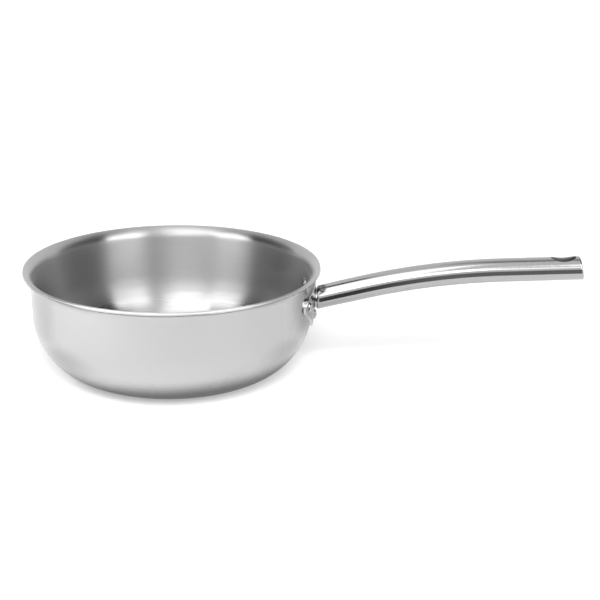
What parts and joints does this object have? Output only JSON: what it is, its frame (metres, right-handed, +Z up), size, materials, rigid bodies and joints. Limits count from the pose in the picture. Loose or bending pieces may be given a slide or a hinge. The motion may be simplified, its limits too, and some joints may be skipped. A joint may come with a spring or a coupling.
{
  "type": "saucier pan",
  "caption": "Round-bottomed clad steel saucier pan with a flared pouring rim and a long riveted tube handle that ends in an oval hanging hole.",
  "frame": {"origin": "middle of the flat base, on the plane the pan stands on", "axes": "+X from the pan's axis along the handle, +Z up out of the pan's mouth, +Y completes a right-handed frame"},
  "size_m": [0.4715, 0.25, 0.1026],
  "materials": {
    "inner_steel": "circular satin brushing",
    "core_aluminium": "cut edge",
    "outer_steel": "fine satin, brushed round the pan",
    "handle_steel": "belt polished",
    "rivet_steel": "polished domes"
  },
  "bodies": {
    "root": {"inner_ply": "inner_steel", "core_ply": "core_aluminium", "outer_ply": "outer_steel", "handle_bracket": "handle_steel", "handle_tube": "handle_steel", "end_cap": "handle_steel", "rivet_upper_left": "rivet_steel", "rivet_upper_right": "rivet_steel", "rivet_lower": "rivet_steel"}
  },
  "joints": []
}
